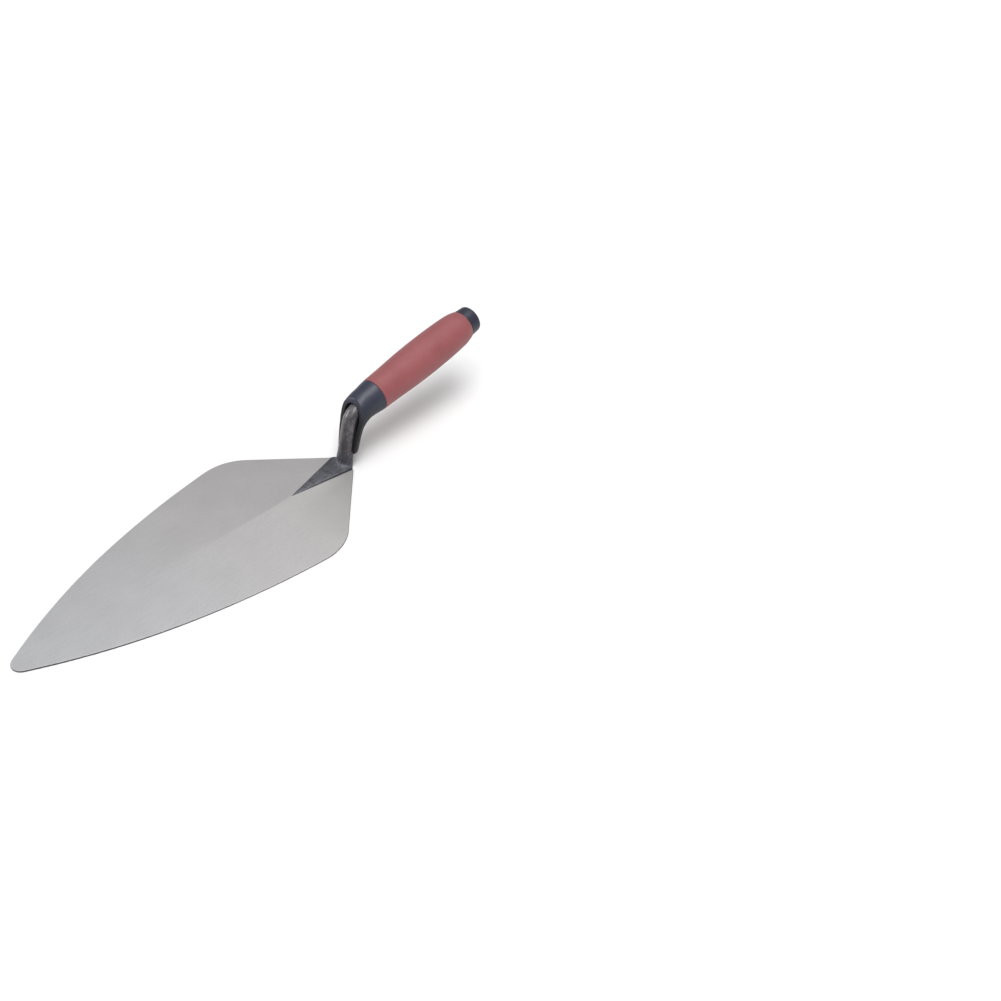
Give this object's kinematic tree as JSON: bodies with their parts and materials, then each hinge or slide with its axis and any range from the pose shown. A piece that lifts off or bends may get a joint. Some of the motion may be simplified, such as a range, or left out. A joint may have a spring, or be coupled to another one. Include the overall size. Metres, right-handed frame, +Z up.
{
  "type": "brick trowel",
  "caption": "Brick trowel with a pointed London-pattern steel blade, bent shank, black finger guard, soft grip sleeve and butt cap.",
  "frame": {"origin": "on the plane of the blade's underside, below the middle of the whole trowel's box", "axes": "+X from the blade's tip towards the handle's butt, +Z up out of the blade's working side with the handle, +Y across the blade"},
  "size_m": [0.4181, 0.127, 0.0808],
  "materials": {
    "ground_steel": "ground and satin, with a fine speckle",
    "forged_steel": "dark forging scale, semi-gloss",
    "black_plastic": "fine satin moulding texture",
    "core_plastic": "moulded, hidden",
    "red_soft_grip": "matte soft-touch elastomer"
  },
  "bodies": {
    "root": {"blade_forging": "ground_steel", "finger_guard": "black_plastic", "handle_core": "core_plastic", "grip_sleeve": "red_soft_grip", "end_cap": "black_plastic"}
  },
  "joints": []
}
